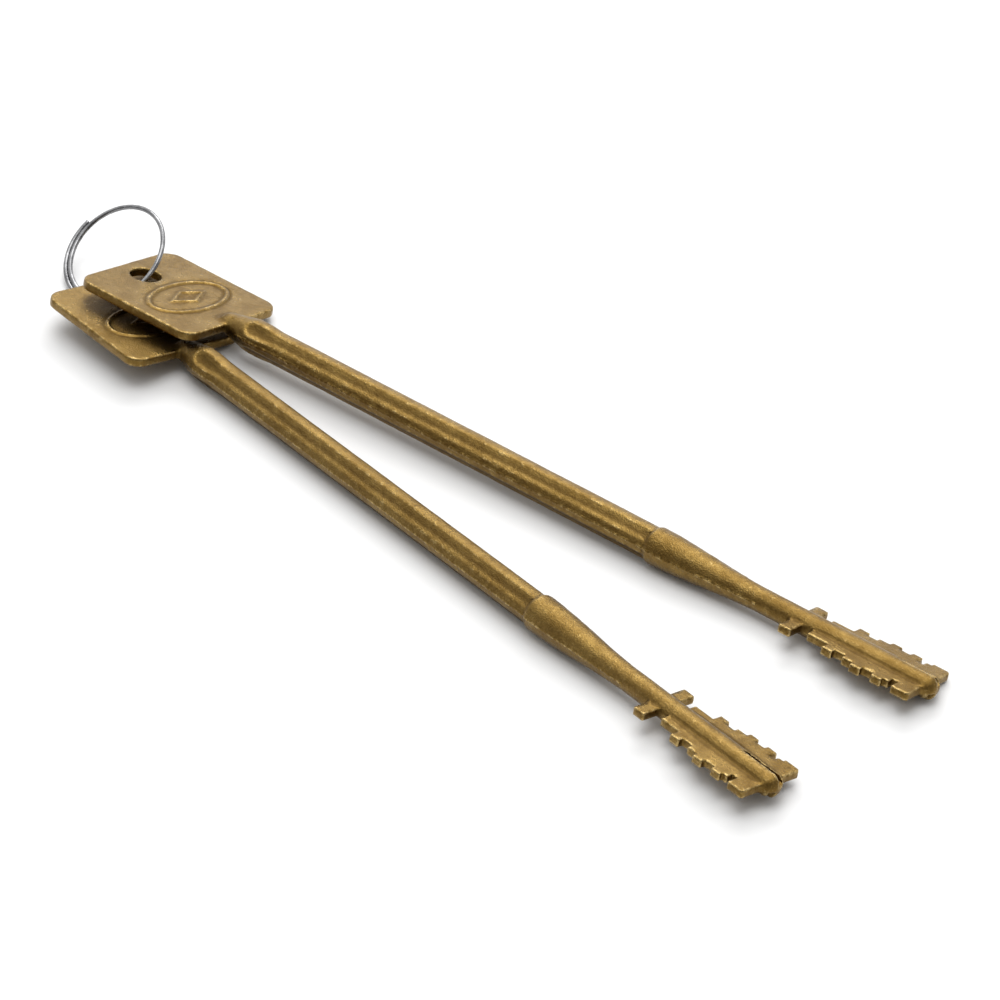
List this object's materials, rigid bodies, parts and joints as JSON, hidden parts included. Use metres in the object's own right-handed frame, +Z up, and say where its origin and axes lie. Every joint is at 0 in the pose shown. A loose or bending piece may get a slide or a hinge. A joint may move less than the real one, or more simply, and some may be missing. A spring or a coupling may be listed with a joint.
{
  "type": "long double-bit lock key set on a split ring",
  "caption": "Long cast-brass double-bitted lever lock keys with flat square bows, fluted shanks and stepped blades, held together on a split wire ring.",
  "frame": {"origin": "on the table, under the middle of the bounding box", "axes": "+Z up from the table the keys lie on; +X along the lower key, from its bow to its tip; +Y to the side the upper key fans out to"},
  "size_m": [0.2036, 0.0574, 0.0126],
  "materials": {
    "brass": "as-cast, fine grained, dulled, worn brighter on edges",
    "ring_steel": "bright plated spring-steel wire"
  },
  "bodies": {
    "lower_key": {"lower_key": "brass"},
    "upper_key": {"upper_key": "brass"},
    "key_ring": {"key_ring": "ring_steel"}
  },
  "joints": [
    {"name": "upper_key_fan", "type": "hinge", "parent": "lower_key", "child": "upper_key", "pos_m": [-0.08083, -0.0098, 0.00561], "axis": [0, 0, 1], "range_deg": [-3, 38]},
    {"name": "ring_swing", "type": "hinge", "parent": "lower_key", "child": "key_ring", "pos_m": [-0.08071, -0.0128, 0.00466], "axis": [0.3352, 0.7847, 0.5214], "range_deg": [-42, 24]}
  ]
}
